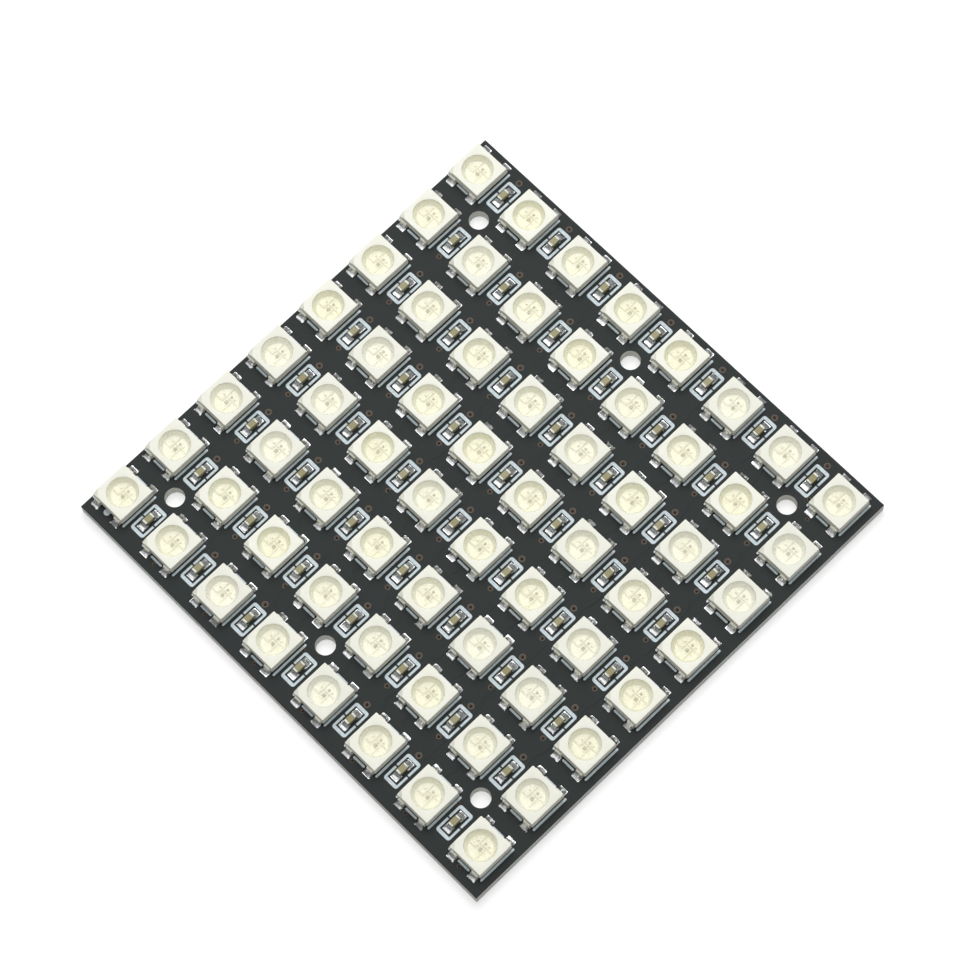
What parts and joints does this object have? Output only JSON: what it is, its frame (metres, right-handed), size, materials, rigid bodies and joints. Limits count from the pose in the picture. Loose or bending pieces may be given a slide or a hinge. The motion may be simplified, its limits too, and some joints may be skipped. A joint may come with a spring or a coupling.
{
  "type": "rgb led matrix panel",
  "caption": "Square black circuit board carrying an even grid of white surface-mounted colour light packages, with small capacitors between them, plated vias and mounting holes.",
  "frame": {"origin": "middle of the board's back face, which is the middle of the underside of the bounding box", "axes": "+Z from the back of the board up through the lights; +X and +Y along the board's sides, with the dot that marks the first light at the -X -Y corner and the seven capacitors of a row spaced along X"},
  "size_m": [0.065, 0.065, 0.0032],
  "materials": {
    "laminate": "sawn glass laminate edge",
    "solder_mask": "satin black-grey solder mask",
    "tinned_copper": "bright tinned copper",
    "via_copper": "copper under thin dark mask",
    "print_ink": "matt white ink over black",
    "solder": "bright reflowed solder",
    "housing_resin": "moulded white resin",
    "lead_frame_silver": "silver plated",
    "chip": "bare silicon and crystal chips",
    "clear_filling": "clear silicone",
    "capacitor_ceramic": "fired tan ceramic",
    "capacitor_metal": "matt tin"
  },
  "bodies": {
    "root": {"circuit_board": "laminate", "solder_mask_front": "solder_mask", "solder_mask_back": "solder_mask", "copper_lands_front": "tinned_copper", "wire_lands_back": "tinned_copper", "via_barrels": "via_copper", "printed_marks": "print_ink", "light_solder": "solder", "capacitor_solder": "solder", "housings_row_1": "housing_resin", "housings_row_2": "housing_resin", "housings_row_3": "housing_resin", "housings_row_4": "housing_resin", "housings_row_5": "housing_resin", "housings_row_6": "housing_resin", "housings_row_7": "housing_resin", "housings_row_8": "housing_resin", "lead_frames_row_1": "lead_frame_silver", "lead_frames_row_2": "lead_frame_silver", "lead_frames_row_3": "lead_frame_silver", "lead_frames_row_4": "lead_frame_silver", "lead_frames_row_5": "lead_frame_silver", "lead_frames_row_6": "lead_frame_silver", "lead_frames_row_7": "lead_frame_silver", "lead_frames_row_8": "lead_frame_silver", "chips_row_1": "chip", "chips_row_2": "chip", "chips_row_3": "chip", "chips_row_4": "chip", "chips_row_5": "chip", "chips_row_6": "chip", "chips_row_7": "chip", "chips_row_8": "chip", "fillings_row_1": "clear_filling", "fillings_row_2": "clear_filling", "fillings_row_3": "clear_filling", "fillings_row_4": "clear_filling", "fillings_row_5": "clear_filling", "fillings_row_6": "clear_filling", "fillings_row_7": "clear_filling", "fillings_row_8": "clear_filling", "capacitor_bodies_row_1": "capacitor_ceramic", "capacitor_bodies_row_2": "capacitor_ceramic", "capacitor_bodies_row_3": "capacitor_ceramic", "capacitor_bodies_row_4": "capacitor_ceramic", "capacitor_bodies_row_5": "capacitor_ceramic", "capacitor_bodies_row_6": "capacitor_ceramic", "capacitor_bodies_row_7": "capacitor_ceramic", "capacitor_bodies_row_8": "capacitor_ceramic", "capacitor_ends_row_1": "capacitor_metal", "capacitor_ends_row_2": "capacitor_metal", "capacitor_ends_row_3": "capacitor_metal", "capacitor_ends_row_4": "capacitor_metal", "capacitor_ends_row_5": "capacitor_metal", "capacitor_ends_row_6": "capacitor_metal", "capacitor_ends_row_7": "capacitor_metal", "capacitor_ends_row_8": "capacitor_metal"}
  },
  "joints": []
}
